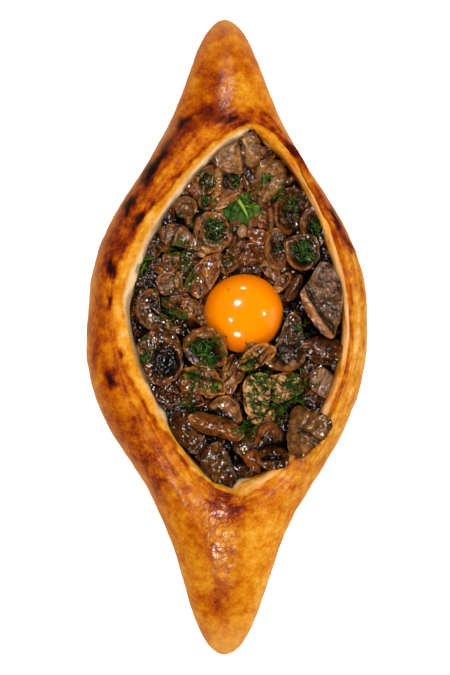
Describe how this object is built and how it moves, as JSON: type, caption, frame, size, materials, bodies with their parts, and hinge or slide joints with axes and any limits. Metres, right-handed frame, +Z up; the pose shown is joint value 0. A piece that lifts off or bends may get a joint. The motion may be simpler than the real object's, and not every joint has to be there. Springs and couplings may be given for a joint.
{
  "type": "khachapuri",
  "caption": "Boat-shaped baked bread with pointed ends, its open middle heaped with fried mushroom slices and herbs, with a raw egg yolk on top.",
  "frame": {"origin": "centre of the bread's flat underside, on the surface that it rests on", "axes": "+Z up out of the filling, +Y along the bread's length towards the end beside which the filling comes nearest, +X to the right of that"},
  "size_m": [0.1406, 0.32, 0.0459],
  "materials": {
    "crust": "egg-washed baked crust, satin to glossy",
    "filling": "moist, glossy",
    "mushroom": "moist, glossy",
    "onion": "moist, translucent",
    "herb": "fresh, slightly wet leaf",
    "yolk": "wet, very glossy"
  },
  "bodies": {
    "root": {"bread": "crust", "egg_yolk": "yolk", "mushroom_arch_left": "mushroom", "mushroom_arch_lower": "mushroom", "mushroom_brown_right": "mushroom", "mushroom_cap_left": "mushroom", "mushroom_cap_lower_left": "mushroom", "mushroom_cap_lowest": "mushroom", "mushroom_cap_top_left": "mushroom", "mushroom_cap_top_right": "mushroom", "mushroom_cap_upper_left": "mushroom", "mushroom_chunk_lower_right": "mushroom", "mushroom_crescent_left": "mushroom", "mushroom_cut_left": "mushroom", "mushroom_cut_right": "mushroom", "mushroom_dark_lower_middle": "mushroom", "mushroom_disc_middle": "mushroom", "mushroom_edge_upper_left": "mushroom", "mushroom_fan_left": "mushroom", "mushroom_flap_top": "mushroom", "mushroom_flat_upper_middle": "mushroom", "mushroom_gill_fan_right": "mushroom", "mushroom_gill_far_right": "mushroom", "mushroom_gill_lower_right": "mushroom", "mushroom_gill_upper_right": "mushroom", "mushroom_heap": "filling", "mushroom_layered_left": "mushroom", "mushroom_leaf_middle": "mushroom", "mushroom_light_lower_middle": "mushroom", "mushroom_low_right": "mushroom", "mushroom_onion_right": "onion", "mushroom_orange_lower": "mushroom", "mushroom_oval_far_left": "mushroom", "mushroom_oval_far_upper_left": "mushroom", "mushroom_oval_left": "mushroom", "mushroom_oval_lower_left": "mushroom", "mushroom_round_left": "mushroom", "mushroom_round_right": "mushroom", "mushroom_round_top": "mushroom", "mushroom_round_upper_left": "mushroom", "mushroom_slice_lower_left": "mushroom", "mushroom_slice_middle_right": "mushroom", "mushroom_square_left": "mushroom", "mushroom_square_middle": "mushroom", "mushroom_square_right": "mushroom", "mushroom_stem_right": "mushroom", "mushroom_stem_upper_left": "mushroom", "mushroom_tan_lower_middle": "mushroom", "mushroom_tan_under_yolk": "mushroom", "mushroom_tube_lower": "mushroom"}
  },
  "joints": []
}
